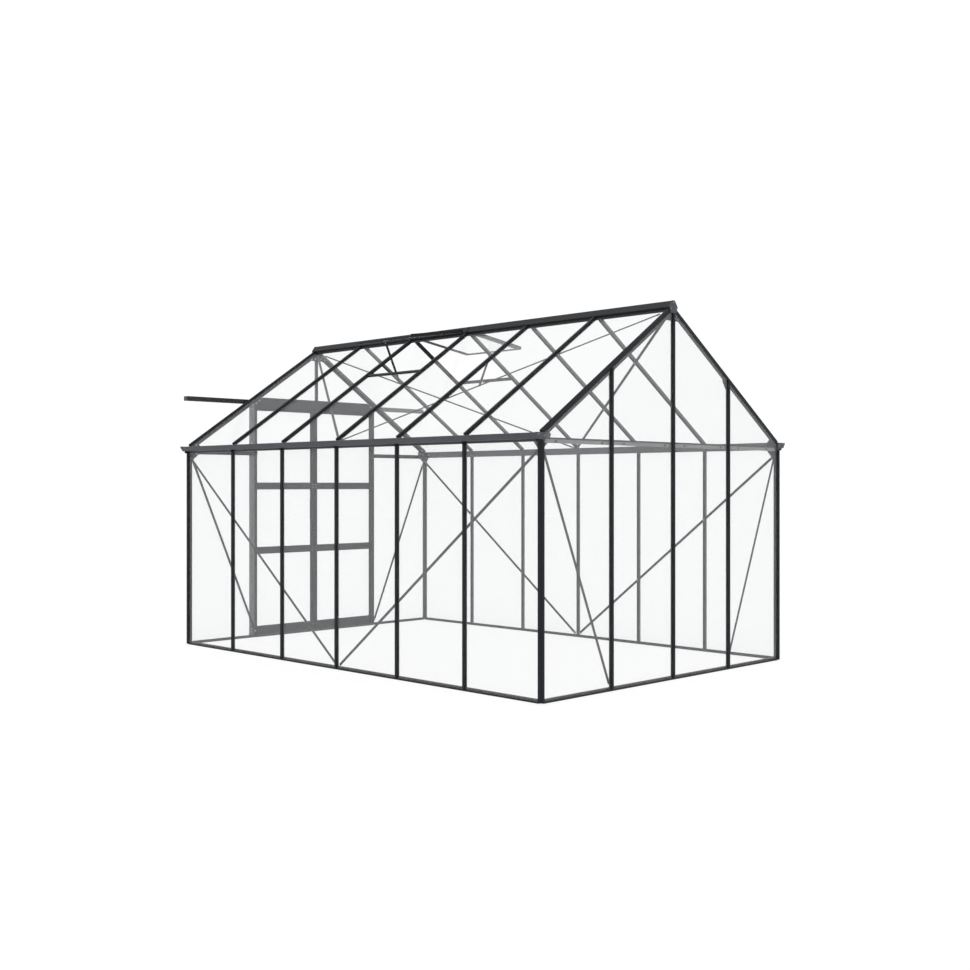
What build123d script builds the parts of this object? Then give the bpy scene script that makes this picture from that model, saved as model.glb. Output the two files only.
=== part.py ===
"""Glass greenhouse: an aluminium glazing-bar frame, six bays long and four bays wide, clear glass on
all walls and both roof slopes, two roof vents propped open at the ridge and a pair of top-hung doors
that slide apart in front of one gable.

Frame: millimetres, +Z up, ground at Z = 0, ridge along Y, doors in the gable at -Y.
"""

from build123d import *
import math
import os

os.makedirs("parts", exist_ok=True)

# ---------------------------------------------------------------- driving dimensions
pitch = 622.0          # bay pitch: a 610 mm pane and the bar's web
half_w = 1250.0        # side wall reference plane, from the ridge
half_l = 1870.0        # gable reference plane, from the middle of the building
y_mid = 26.0           # middle of the building, so that the whole box is centred on the origin
eave_z = 1546.0        # roof reference line at the side wall
ridge_z = 2389.0       # roof reference line at the ridge
cill_h = 22.0          # base cill height
wall_top = 1495.0      # top of posts and wall bars, underside of the eave beam
glass_in, glass_t = -5.0, 4.0   # glass layer in the wall depth, and its thickness
roof_glass_in = -9.0   # glass layer under the roof plane
lip_h = 11.0           # outer lip of the cill, under the glass and the bar caps
stem_in, roof_stem_in = -10.5, -13.0    # inner face of the wall bars and of the roof bars
plate_t = 3.0          # brace strips and gusset plates
brace_w = 18.0         # brace strip width
post_in = 22.0         # inner corner of a post
rafter_in = 19.0       # inner face of a gable rafter
lip = -40.6            # lower edge of a gable rafter's inner lip, below the roof plane
verge = -17.5          # lower edge of a gable rafter's outer face
tie_z0, tie_z1, tie_top = 1487.0, 1509.0, 1519.5   # gable tie bar and the rail along its top
tie_t = 5.0
gutter_rear, gutter_front = 12.0, 3.0   # gutter ends, outside the gable planes
gutter_cap_t = 4.0
door_w = 648.0         # outer edge of a leaf, from the middle of the gable
door_gap = 1.5         # half the gap between the closed leaves
meet_w, stile_w = 28.0, 28.0    # meeting stile and outer stile width
leaf_in, leaf_out = 27.0, 53.0  # leaf thickness, outside the gable plane
leaf_mid = 40.0        # middle of the leaf's thickness
leaf_bottom, leaf_top = 12.0, 1904.0
track_half = 1248.0    # half the track's length
track_z0, track_z1 = 1909.0, 1944.0
track_in, track_out = 16.0, 64.0
header_z0, header_z1 = 1891.0, 1965.0
vent_angle = 8.6       # fall of the opened vent, in degrees
vent_len = 530.0       # vent length from its hinge
vent_hinge = (50.0, 2386.8)

# ---------------------------------------------------------------- derived places
slope = math.atan2(ridge_z - eave_z, half_w)
c, s = math.cos(slope), math.sin(slope)
y_front, y_rear = y_mid - half_l, y_mid + half_l
bar_y = [y_mid + k * pitch for k in (-2, -1, 0, 1, 2)]
wall_bay_y = (
    [(y_front + 10, bar_y[0] - 4.5)]
    + [(a + 4.5, b - 4.5) for a, b in zip(bar_y[:-1], bar_y[1:])]
    + [(bar_y[4] + 4.5, y_rear - 10)]
)
roof_bay_y = (
    [(y_front + rafter_in + 1, bar_y[0] - 4.5)]
    + [(a + 4.5, b - 4.5) for a, b in zip(bar_y[:-1], bar_y[1:])]
    + [(bar_y[4] + 4.5, y_rear - rafter_in - 1)]
)
vent_bay = 2           # the bay between the second bar and the middle bar


def roof_z(x, t=0.0):
    """Height of the roof layer t (outward from the reference plane) at distance x from the ridge."""
    return ridge_z - abs(x) * math.tan(slope) + t / c


def strip(p, q, w):
    """Four corners of a flat strip of width w from p to q."""
    dx, dy = q[0] - p[0], q[1] - p[1]
    n = math.hypot(dx, dy)
    ox, oy = -dy / n * w / 2, dx / n * w / 2
    return [(p[0] + ox, p[1] + oy), (q[0] + ox, q[1] + oy), (q[0] - ox, q[1] - oy), (p[0] - ox, p[1] - oy)]


def flip(pts):
    """The same outline on the other side of the ridge line."""
    return [(-x, y) for x, y in pts][::-1]


def ring(r, n=24):
    """Corners of a many-sided round of radius r."""
    return [(r * math.cos(2 * math.pi * i / n), r * math.sin(2 * math.pi * i / n)) for i in range(n)]


# Wall bar section, x along the wall and y outward: glazing seat with a bolt channel, web and cap.
bar_core = [
    (-9.5, -10.5), (-3, -10.5), (-3, -9), (-5.5, -9), (-5.5, -6.5), (5.5, -6.5), (5.5, -9), (3, -9), (3, -10.5),
    (9.5, -10.5), (9.5, -5), (3.5, -5), (3.5, -1), (-3.5, -1), (-3.5, -5), (-9.5, -5),
]
bar_cap = [(-9.5, -1), (9.5, -1), (9.5, 12.6), (8.7, 13.4), (-8.7, 13.4), (-9.5, 12.6)]
# Roof bar section, the same way round: the seat stops at the eave beam, the web and cap run on over it.
bar_inner = [
    (-8.5, -13), (-3, -13), (-3, -12), (-5.5, -12), (-5.5, -10), (5.5, -10), (5.5, -12), (3, -12), (3, -13),
    (8.5, -13), (8.5, -9), (-8.5, -9),
]
bar_outer = [
    (-3.5, -9), (3.5, -9), (3.5, -5), (9, -5), (9, 12.8), (8, 13.8), (-8, 13.8), (-9, 12.8), (-9, -5), (-3.5, -5),
]
# Corner post section, x outward from the side wall and y outward from the gable: an outer angle with its
# corner cut off, a web between the two glass layers and an inner corner block.
post_pts = [
    (2.6, 13.4), (13.4, 2.6), (13.4, -15.8), (-1, -15.8), (-1, -9.5), (-5, -9.5), (-5, -22),
    (-22, -22), (-22, -5), (-9.5, -5), (-9.5, -1), (-13.7, -1), (-13.7, 13.4),
]
# The outer angle's side-wall half runs on up beside the eave beam, under the gutter.
post_head = [(2.6, 13.4), (13.4, 2.6), (13.4, -15.8), (-0.9, -15.8), (-0.9, 13.4)]
# Gable rafter section, x outward from the gable and y outward from the roof.
verge_full = [
    (-19, -17), (-8, -17), (-8, lip), (-5.2, lip), (-5.2, -16), (-1, -16), (-1, verge), (2.3, verge), (2.3, 5.3),
    (-7.5, 13), (-10.5, 13), (-19, 7.2),
]
front_full = [
    (-19, -17), (-8, -17), (-8, lip + 3.5), (-5.2, lip + 3.5), (-5.2, -16), (-1, -16), (-1, verge), (2.3, verge),
    (2.3, 7.3), (-7.5, 15), (-10.5, 15), (-19, 9.2),
]
front_cap = [(-19, -8.9), (2.3, -8.9), (2.3, 7.3), (-7.5, 15), (-10.5, 15), (-19, 9.2)]
verge_cap = [(-19, -8.9), (2.3, -8.9), (2.3, 5.3), (-7.5, 13), (-10.5, 13), (-19, 7.2)]
# Base cill section, x outward from the wall and y up: a low outer lip and an upstand behind the glass.
cill_pts = [
    (-18, 4), (-9, 4), (-9, 0), (8, 0), (8, 8.5), (6, lip_h), (-5.3, lip_h), (-5.3, cill_h), (-18, cill_h),
]
cill_front = [(-18, 8), (-9, 8)] + cill_pts[2:]
cill_lip = [(-0.8, 0), (8, 0), (8, 8.5), (6, lip_h), (-0.8, lip_h)]

# Right roof slope: x down the slope from the ridge, y along the building, z outward.
roof_right = Plane(origin=(0, 0, ridge_z), x_dir=(c, 0, -s), z_dir=(s, 0, c))
roof_left = Plane(origin=(0, 0, ridge_z), x_dir=(-c, 0, -s), z_dir=(-s, 0, c))


def at_y(y):
    """Vertical plane across the building at y: x is X, y is Z, and it grows towards -Y."""
    return Plane.XZ.offset(-y)


def at_x(x):
    """Vertical plane along the building at x: x is Y, y is Z, and it grows towards +X."""
    return Plane.YZ.offset(x)


def down_slope(y):
    """Plane across a right-hand rafter at y, at the ridge: x is Y, y is outward, it grows down the slope."""
    return Plane(origin=(0, y, ridge_z), x_dir=(0, 1, 0), z_dir=(c, 0, -s))


# ---------------------------------------------------------------- base cills
with BuildPart() as base_cills_side:
    with BuildSketch(at_y(y_rear - post_in - 0.1)):
        Polygon(*[(half_w + x, z) for x, z in cill_pts], align=None)
    extrude(amount=2 * (half_l - post_in - 0.1))
    with BuildSketch(at_y(y_rear - 15.9)):
        Polygon(*[(half_w + x, z) for x, z in cill_lip], align=None)
    extrude(amount=2 * (half_l - 15.9))
    mirror(about=Plane.YZ)

with BuildPart() as base_cill_rear:
    with BuildSketch(at_x(-(half_w - post_in - 0.1))):
        Polygon(*[(y_rear + x, z) for x, z in cill_pts], align=None)
    extrude(amount=2 * (half_w - post_in - 0.1))
    with BuildSketch(at_x(-(half_w - 13.8))):
        Polygon(*[(y_rear + x, z) for x, z in cill_lip], align=None)
    extrude(amount=2 * (half_w - 13.8))

jamb_x = pitch
with BuildPart() as base_cill_front:
    with BuildSketch(at_x(jamb_x - 10)):
        Polygon(*[(y_front - x, z) for x, z in cill_front], align=None)
    extrude(amount=half_w - post_in - 0.1 - (jamb_x - 10))
    with BuildSketch(at_x(jamb_x - 10)):
        Polygon(*[(y_front - x, z) for x, z in cill_lip], align=None)
    extrude(amount=half_w - 13.8 - (jamb_x - 10))
    mirror(about=Plane.YZ)

# Low threshold between the jambs, and the two floor guides that stand in the leaves' bottom grooves.
guide_pts = [(8.5, 0), (46, 0), (46, 5), (41, 5), (41, 34), (39, 34), (39, 5), (8.5, 5)]
with BuildPart() as door_sill:
    with BuildSketch(at_x(-(jamb_x - 11))):
        Polygon(*[(y_front - x, z) for x, z in [(-18, 0), (8, 0), (8, 8), (3, 16), (-12, 16), (-18, 10)]], align=None)
    extrude(amount=2 * (jamb_x - 11))
    with BuildSketch(at_x(613)):
        Polygon(*[(y_front - t, z) for t, z in guide_pts], align=None)
    extrude(amount=44)
    with BuildSketch(at_x(-657)):
        Polygon(*[(y_front - t, z) for t, z in guide_pts], align=None)
    extrude(amount=44)

# ---------------------------------------------------------------- posts and wall bars
with BuildPart() as corner_posts:
    with BuildSketch(Plane.XY.offset(4)):
        for sx in (-1, 1):
            for yc, sy in ((y_front, -1), (y_rear, 1)):
                Polygon(*[(sx * (half_w + x), yc + sy * y) for x, y in post_pts], align=None)
    extrude(amount=wall_top - 4)
    with BuildSketch(Plane.XY.offset(wall_top)):
        for sx in (-1, 1):
            for yc, sy in ((y_front, -1), (y_rear, 1)):
                Polygon(*[(sx * (half_w + x), yc + sy * y) for x, y in post_head], align=None)
    extrude(amount=9.5)

with BuildPart() as side_bars_right:
    with BuildSketch(Plane.XY.offset(cill_h + 0.1)):
        with Locations(*[(half_w, y) for y in bar_y]):
            Polygon(*bar_core, rotation=-90, align=None)
    extrude(amount=wall_top - cill_h - 0.1)
    with BuildSketch(Plane.XY.offset(lip_h + 0.2)):
        with Locations(*[(half_w, y) for y in bar_y]):
            Polygon(*bar_cap, rotation=-90, align=None)
    extrude(amount=1507.5 - lip_h - 0.2)

with BuildPart() as side_bars_left:
    mirror(side_bars_right.part, about=Plane.YZ)

core_top = roof_z(pitch + 10, lip - 0.4)      # seats of the outer gable bars stop under the rafter's lip
core_top_mid = roof_z(10, lip - 0.4)
with BuildPart() as rear_bars:
    with BuildSketch(Plane.XY.offset(lip_h + 0.2)):
        with Locations((-pitch, y_rear), (0, y_rear), (pitch, y_rear)):
            Polygon(*bar_cap, align=None)
    extrude(amount=2345.5 - lip_h - 0.2)
    split(bisect_by=roof_right.offset(verge - 0.3), keep=Keep.BOTTOM)
    split(bisect_by=roof_left.offset(verge - 0.3), keep=Keep.BOTTOM)
    with BuildSketch(Plane.XY.offset(cill_h + 0.1)):
        with Locations((-pitch, y_rear), (pitch, y_rear)):
            Polygon(*bar_core, align=None)
    extrude(amount=core_top - cill_h - 0.1)
    with BuildSketch(Plane.XY.offset(cill_h + 0.1)):
        with Locations((0, y_rear)):
            Polygon(*bar_core, align=None)
    extrude(amount=core_top_mid - cill_h - 0.1)

# Door jambs up to the rafters, and the short bar from the header to the ridge.
with BuildPart() as front_bars:
    with BuildSketch(Plane.XY.offset(lip_h + 0.2)):
        with Locations((-jamb_x, y_front), (jamb_x, y_front)):
            Polygon(*bar_cap, rotation=180, align=None)
    extrude(amount=2345.5 - lip_h - 0.2)
    with BuildSketch(Plane.XY.offset(header_z1 + 0.2)):
        with Locations((0, y_front)):
            Polygon(*bar_cap, rotation=180, align=None)
    extrude(amount=2345.5 - header_z1 - 0.2)
    split(bisect_by=roof_right.offset(verge - 0.3), keep=Keep.BOTTOM)
    split(bisect_by=roof_left.offset(verge - 0.3), keep=Keep.BOTTOM)
    with BuildSketch(Plane.XY.offset(cill_h + 0.1)):
        with Locations((-jamb_x, y_front), (jamb_x, y_front)):
            Polygon(*bar_core, rotation=180, align=None)
    extrude(amount=core_top - cill_h - 0.1)
    with BuildSketch(Plane.XY.offset(header_z1 + 0.2)):
        with Locations((0, y_front)):
            Polygon(*bar_core, rotation=180, align=None)
    extrude(amount=core_top_mid - header_z1 - 0.2)

# ---------------------------------------------------------------- eaves and ridge
# Eave beam with the rain gutter flaring out from it, one extruded section.
beam_in, beam_out = 1231.0, 1250.0
gutter_pts = [
    (beam_in, wall_top), (1248.8, wall_top), (1248.8, 1508), (1295, 1510), (1313, 1538), (1316, 1538), (1317.5, 1541),
    (1315, 1543.5), (1310.5, 1542), (1292.5, 1514), (beam_out, 1512), (beam_out, roof_z(beam_out, -9.3)),
    (beam_in, roof_z(beam_in, -9.3)),
]
with BuildPart() as gutter_right:
    with BuildSketch(at_y(y_rear + gutter_rear)):
        Polygon(*gutter_pts, align=None)
    extrude(amount=2 * half_l + gutter_rear + gutter_front)

with BuildPart() as gutter_left:
    mirror(gutter_right.part, about=Plane.YZ)

# Plates that close the gutter ends above the beam's foot.
gutter_cap_pts = [
    (1228, 1505), (1272, 1506), (1296, 1508.5), (1317, 1539), (1318, 1545), (1310, 1546), (1250, 1546),
    (1228, 1547),
]
with BuildPart() as gutter_end_caps:
    with BuildSketch(at_y(y_rear + gutter_rear + gutter_cap_t)):
        Polygon(*gutter_cap_pts, align=None)
        Polygon(*flip(gutter_cap_pts), align=None)
    extrude(amount=gutter_cap_t)
    with BuildSketch(at_y(y_front - gutter_front)):
        Polygon(*gutter_cap_pts, align=None)
        Polygon(*flip(gutter_cap_pts), align=None)
    extrude(amount=gutter_cap_t)

# Ridge: a web between the upper ends of the bars, with two wings over them.
ridge_pts = [
    (-40, 2386), (-40, 2380.4), (-22, 2392.5), (-22, 2369), (-10, 2361), (10, 2361), (22, 2369), (22, 2392.5),
    (40, 2380.4), (40, 2386), (12, 2426), (-12, 2426),
]
with BuildPart() as ridge_beam:
    with BuildSketch(at_y(y_rear + 2.5)):
        Polygon(*ridge_pts, align=None)
    extrude(amount=2 * (half_l + 2.5))

ridge_cap_pts = [
    (-42, 2388), (-42, 2382), (-28, 2346), (28, 2346), (42, 2382), (42, 2388), (14, 2427), (11, 2428), (-11, 2428),
    (-14, 2427),
]
with BuildPart() as ridge_end_caps:
    with BuildSketch(at_y(y_rear + 7)):
        Polygon(*ridge_cap_pts, align=None)
    extrude(amount=4.4)
    with BuildSketch(at_y(y_front - 2.6)):
        Polygon(*ridge_cap_pts, align=None)
    extrude(amount=4.4)

# ---------------------------------------------------------------- roof bars and gable rafters
cap_foot_x = 1247.0    # bar caps run on over the beam to here
rafter_foot_x = 1242.0  # and the caps of the gable rafters to here
ridge_side_x = 22.5    # all rafters start beside the ridge's web here
with BuildPart() as roof_bars_right:
    for y in bar_y:
        with BuildSketch(down_slope(y)):
            Polygon(*bar_inner, align=None)
        extrude(amount=1560)
    split(bisect_by=Plane.YZ.offset(beam_in - 0.5), keep=Keep.BOTTOM)
    for y in bar_y:
        with BuildSketch(down_slope(y)):
            Polygon(*bar_outer, align=None)
        extrude(amount=cap_foot_x / c)
    split(bisect_by=Plane.YZ.offset(ridge_side_x), keep=Keep.TOP)

with BuildPart() as roof_bars_left:
    mirror(roof_bars_right.part, about=Plane.YZ)

with BuildPart() as gable_rafters_rear:
    with BuildSketch(down_slope(y_rear)):
        Polygon(*verge_full, align=None)
    extrude(amount=1560)
    split(bisect_by=Plane.YZ.offset(beam_in - 0.5), keep=Keep.BOTTOM)
    with BuildSketch(down_slope(y_rear)):
        Polygon(*verge_cap, align=None)
    extrude(amount=rafter_foot_x / c)
    split(bisect_by=Plane.YZ.offset(ridge_side_x), keep=Keep.TOP)
    mirror(about=Plane.YZ)

with BuildPart() as gable_rafters_front:
    with BuildSketch(down_slope(y_front)):
        Polygon(*flip(front_full), align=None)
    extrude(amount=1560)
    split(bisect_by=Plane.YZ.offset(beam_in - 0.5), keep=Keep.BOTTOM)
    with BuildSketch(down_slope(y_front)):
        Polygon(*flip(front_cap), align=None)
    extrude(amount=rafter_foot_x / c)
    split(bisect_by=Plane.YZ.offset(ridge_side_x), keep=Keep.TOP)
    mirror(about=Plane.YZ)

# ---------------------------------------------------------------- gable ties, header, track
tie_mid, tie_h = (tie_z0 + tie_z1) / 2, tie_z1 - tie_z0
with BuildPart() as gable_tie_bars:
    with BuildSketch(at_y(y_rear + stem_in)):
        with Locations((0, tie_mid)):
            Rectangle(2450, tie_h)
    extrude(amount=tie_t)

rail_mid, rail_h = (tie_z1 + 0.3 + tie_top) / 2, tie_top - tie_z1 - 0.3
tie_all = tie_top - tie_z0
with BuildPart() as gable_tie_rails:
    with BuildSketch(at_y(y_rear + stem_in)):
        with Locations((0, rail_mid)):
            Rectangle(2450, rail_h)
    extrude(amount=tie_t + 2)
    with BuildSketch(at_y(y_front - stem_in + tie_t + 2)):
        with Locations((919, rail_mid), (-919, rail_mid)):
            Rectangle(612, rail_h)
    extrude(amount=tie_t + 2)
    with BuildSketch(at_y(y_front - stem_in + tie_t)):
        with Locations((919, tie_z0 + tie_all / 2), (-919, tie_z0 + tie_all / 2)):
            Rectangle(612, tie_all)
    extrude(amount=tie_t)

with BuildPart() as door_header:
    with BuildSketch(at_y(y_front - stem_in)):
        with Locations((0, (header_z0 + header_z1) / 2)):
            Rectangle(2 * (jamb_x - 9.5), header_z1 - header_z0)
    extrude(amount=13.5)
    split(bisect_by=roof_right.offset(lip - 0.4), keep=Keep.BOTTOM)
    split(bisect_by=roof_left.offset(lip - 0.4), keep=Keep.BOTTOM)
    with BuildSketch(at_y(y_front - 3)):
        with Locations((0, (track_z0 + track_z1) / 2)):
            Rectangle(2 * (jamb_x - 22), 20)
    extrude(amount=track_in - 3)

# Top track: a channel with a slot along its underside, past both corners of the roof.
slot0, slot1 = leaf_mid - 6, leaf_mid + 6
track_pts = [
    (track_in, track_z0), (slot0, track_z0), (slot0, track_z0 + 3), (track_in + 3, track_z0 + 3),
    (track_in + 3, track_z1 - 3), (track_out - 3, track_z1 - 3), (track_out - 3, track_z0 + 3),
    (slot1, track_z0 + 3), (slot1, track_z0), (track_out, track_z0), (track_out, track_z1), (track_in, track_z1),
]
with BuildPart() as door_track:
    with BuildSketch(at_x(-track_half)):
        Polygon(*[(y_front - t, z) for t, z in track_pts], align=None)
    extrude(amount=2 * track_half)

# ---------------------------------------------------------------- bracing
with BuildPart() as wall_braces:
    for y_top, side in ((y_rear - 30, 1), (y_front + 30, -1)):
        with BuildSketch(at_x(half_w + stem_in - plate_t)):
            Polygon(*strip((y_top, 1448), (y_mid + side * 18.6, 29.6), brace_w), align=None)
        extrude(amount=plate_t)
        with BuildSketch(at_x(-(half_w + stem_in))):
            Polygon(*strip((y_top, 1448), (y_mid + side * 18.6, 29.6), brace_w), align=None)
        extrude(amount=plate_t)
    for y in (y_rear + stem_in, y_front - stem_in + plate_t):
        with BuildSketch(at_y(y)):
            Polygon(*strip((1214, 1433), (630, 42), brace_w), align=None)
            Polygon(*flip(strip((1214, 1433), (630, 42), brace_w)), align=None)
        extrude(amount=plate_t)

brace_u0, brace_u1 = ((x - (roof_stem_in - plate_t / 2) * s) / c for x in (40, 1222))
with BuildPart() as roof_braces:
    with BuildSketch(roof_right.offset(roof_stem_in - plate_t)):
        Polygon(*strip((brace_u0, y_rear - 70), (brace_u1, y_mid + 11), brace_w), align=None)
        Polygon(*strip((brace_u0, y_front + 70), (brace_u1, y_mid - 11), brace_w), align=None)
    extrude(amount=plate_t)
    mirror(about=Plane.YZ)

# ---------------------------------------------------------------- gusset plates
eave_plate = [
    (1223.5, 1444), (1218, 1447), (1170, 1487), (1152, 1514), (1142, 1539), (1180, 1573),
    (1188, roof_z(1188, -13.5)), (1223.5, roof_z(1223.5, -13.5)),
]
ridge_plate = [(-80, 2301), (80, 2301), (100, 2308), (62, 2334), (-62, 2334), (-100, 2308)]
joint_top = -34.5
joint_plate = [
    (614, roof_z(614, joint_top) - 44), (631, roof_z(631, joint_top) - 34), (631, roof_z(631, joint_top)),
    (576, roof_z(576, joint_top)), (576, roof_z(576, joint_top) - 14),
]
with BuildPart() as gusset_plates:
    for y in (y_rear - post_in, y_front + post_in + plate_t):
        with BuildSketch(at_y(y)):
            Polygon(*eave_plate, align=None)
            Polygon(*flip(eave_plate), align=None)
            Polygon(*ridge_plate, align=None)
        extrude(amount=plate_t)
    for y in (y_rear + stem_in, y_front - stem_in + plate_t):
        with BuildSketch(at_y(y)):
            Polygon(*joint_plate, align=None)
            Polygon(*flip(joint_plate), align=None)
        extrude(amount=plate_t)
    for x in (half_w - post_in - plate_t, -(half_w - post_in)):
        with BuildSketch(at_x(x)):
            for yc, sy in ((y_rear, 1), (y_front, -1)):
                Polygon(
                    *[
                        (yc + sy * d, z)
                        for d, z in [(-9, 1428), (-28, 1430), (-52, 1461), (-102, 1525), (-102, 1531), (-60, 1539), (-24, 1539), (-24, 1512), (-9, 1512)]
                    ],
                    align=None,
                )
        extrude(amount=plate_t)

# ---------------------------------------------------------------- roof vents, propped open
a = math.radians(vent_angle)
ca, sa = math.cos(a), math.sin(a)
vent_right = Plane(origin=(vent_hinge[0], y_mid, vent_hinge[1]), x_dir=(ca, 0, -sa), z_dir=(sa, 0, ca))
with BuildPart() as vent_frames:
    with BuildSketch(vent_right.offset(-5)):
        with Locations(((8 + vent_len) / 2, -600), ((8 + vent_len) / 2, -22)):
            Rectangle(vent_len - 8, 34)
        with Locations((18, -311)):
            Rectangle(20, 545)
        with Locations((vent_len - 6, -311)):
            Rectangle(12, 545)
    extrude(amount=10)
    with BuildSketch(vent_right.offset(5)):
        with Locations(((8 + vent_len) / 2, -7)):
            Rectangle(vent_len - 8, 4)
    extrude(amount=14)
    mirror(about=Plane.YZ)

with BuildPart() as vent_glass:
    with BuildSketch(vent_right.offset(-2)):
        with Locations(((29 + vent_len - 13) / 2, -311)):
            Rectangle(vent_len - 13 - 29, 542)
    extrude(amount=glass_t)
    mirror(about=Plane.YZ)

sill_x = 471.0
with BuildPart() as vent_sills:
    with BuildSketch(roof_right.offset(roof_glass_in)):
        with Locations((sill_x / c, y_mid - pitch / 2)):
            Rectangle(22, pitch - 19)
    extrude(amount=14)
    mirror(about=Plane.YZ)

with BuildPart() as vent_stays:
    with BuildSketch(at_y(y_mid - 307)):
        Polygon(*strip((550, 2298), (421, 2025), 5), align=None)
        Polygon(*flip(strip((550, 2298), (421, 2025), 5)), align=None)
    extrude(amount=20)

# ---------------------------------------------------------------- glass
with BuildPart() as side_glass_right:
    with BuildSketch(at_x(half_w + glass_in)):
        for y0, y1 in wall_bay_y:
            with Locations(((y0 + y1) / 2, (lip_h + wall_top) / 2)):
                Rectangle(y1 - y0, wall_top - lip_h - 1)
    extrude(amount=glass_t)

with BuildPart() as side_glass_left:
    mirror(side_glass_right.part, about=Plane.YZ)

glass_top = -17.0      # upper edge of the gable panes, in the slot of the rafter
gable_outer = [
    (pitch + 4.5, lip_h + 0.5), (half_w - 10, lip_h + 0.5), (half_w - 10, wall_top - 0.5),
    (beam_in - 1, wall_top - 0.5), (beam_in - 1, roof_z(beam_in - 1, glass_top)),
    (pitch + 4.5, roof_z(pitch + 4.5, glass_top)),
]
gable_inner = [
    (4.5, lip_h + 0.5), (pitch - 4.5, lip_h + 0.5), (pitch - 4.5, roof_z(pitch - 4.5, glass_top)),
    (34, roof_z(34, glass_top)), (4.5, roof_z(34, glass_top)),
]
gable_top = [
    (4.5, header_z1 + 0.5), (590, header_z1 + 0.5), (590, roof_z(590, glass_top)),
    (34, roof_z(34, glass_top)), (4.5, roof_z(34, glass_top)),
]
with BuildPart() as rear_glass:
    with BuildSketch(at_y(y_rear + glass_in + glass_t)):
        for pane in (gable_outer, gable_inner):
            Polygon(*pane, align=None)
            Polygon(*flip(pane), align=None)
    extrude(amount=glass_t)

with BuildPart() as front_glass:
    with BuildSketch(at_y(y_front - glass_in)):
        for pane in (gable_outer, gable_top):
            Polygon(*pane, align=None)
            Polygon(*flip(pane), align=None)
    extrude(amount=glass_t)

with BuildPart() as roof_glass_right:
    with BuildSketch(roof_right.offset(roof_glass_in)):
        for i, (y0, y1) in enumerate(roof_bay_y):
            u0 = sill_x / c + 12 if i == vent_bay else 47 / c
            u1 = 1264 / c
            with Locations(((u0 + u1) / 2, (y0 + y1) / 2)):
                Rectangle(u1 - u0, y1 - y0)
    extrude(amount=glass_t)

with BuildPart() as roof_glass_left:
    mirror(roof_glass_right.part, about=Plane.YZ)

# ---------------------------------------------------------------- sliding doors
# The bottom rail is a grooved channel under both stiles, so that it can ride over the floor guide.
rail_in, rail_out = leaf_in + 2, leaf_out - 2
foot_top = 77.0
with BuildPart() as door_right_stiles:
    with BuildSketch(Plane.XY.offset(foot_top)):
        with Locations((door_gap + meet_w / 2, y_front - leaf_mid)):
            RectangleRounded(meet_w, leaf_out - leaf_in, 2)
        with Locations((door_w - stile_w / 2, y_front - leaf_mid)):
            RectangleRounded(stile_w, leaf_out - leaf_in, 2)
    extrude(amount=leaf_top - foot_top)

bar_zs = [(682.0, 728.5), (1214.0, 1260.5), (1865.0, leaf_top)]
x0, x1 = door_gap + meet_w, door_w - stile_w
with BuildPart() as door_right_rails:
    with BuildSketch(at_x(door_gap)):
        Polygon(
            *[
                (y_front - t, z)
                for t, z in [
                    (leaf_in, leaf_bottom), (slot0, leaf_bottom), (slot0, 40), (slot1, 40), (slot1, leaf_bottom),
                    (leaf_out, leaf_bottom), (leaf_out, foot_top), (leaf_in, foot_top),
                ]
            ],
            align=None,
        )
    extrude(amount=door_w - door_gap)
    with BuildSketch(at_x(x0)):
        for z0, z1 in bar_zs:
            with Locations((y_front - leaf_mid, (z0 + z1) / 2)):
                RectangleRounded(rail_out - rail_in, z1 - z0, 2)
    extrude(amount=x1 - x0)

panes = [(foot_top + 1, 681.0), (729.5, 1213.0), (1261.5, 1864.0)]
with BuildPart() as door_right_glass:
    with BuildSketch(at_y(y_front - leaf_mid + 2)):
        for z0, z1 in panes:
            with Locations(((x0 + x1) / 2, (z0 + z1) / 2)):
                Rectangle(x1 - x0 - 2, z1 - z0)
    extrude(amount=glass_t)

# Hangers: a plate up through the track's slot, an axle and a wheel each side of the plate.
axle_z = 1925.0
with BuildPart() as door_right_hangers:
    for xh in (110.0, 552.0):
        with BuildSketch(at_y(y_front - leaf_mid + 2)):
            with Locations((xh, (leaf_top + axle_z + 7) / 2)):
                Rectangle(34, axle_z + 7 - leaf_top)
        extrude(amount=4)
        with BuildSketch(at_y(y_front - leaf_mid + 18)):
            with Locations((xh, axle_z)):
                Polygon(*ring(4, 12), align=None)
        extrude(amount=36)
        for t0 in (leaf_mid - 19.5, leaf_mid + 8.5):
            with BuildSketch(at_y(y_front - t0)):
                with Locations((xh, axle_z)):
                    Polygon(*ring(12), align=None)
            extrude(amount=11)

# Finger grip on the outer face of the meeting stile.
with BuildPart() as door_right_grip:
    with BuildSketch(Plane.XY.offset(960)):
        Polygon(
            *[(16 + x, y_front - t) for x, t in [(-9, leaf_out), (9, leaf_out), (8, 62), (4, 68), (-4, 68), (-8, 62)]],
            align=None,
        )
    extrude(amount=170)

with BuildPart() as door_left_stiles:
    mirror(door_right_stiles.part, about=Plane.YZ)

with BuildPart() as door_left_rails:
    mirror(door_right_rails.part, about=Plane.YZ)

with BuildPart() as door_left_glass:
    mirror(door_right_glass.part, about=Plane.YZ)

with BuildPart() as door_left_hangers:
    mirror(door_right_hangers.part, about=Plane.YZ)

with BuildPart() as door_left_grip:
    mirror(door_right_grip.part, about=Plane.YZ)

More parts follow.
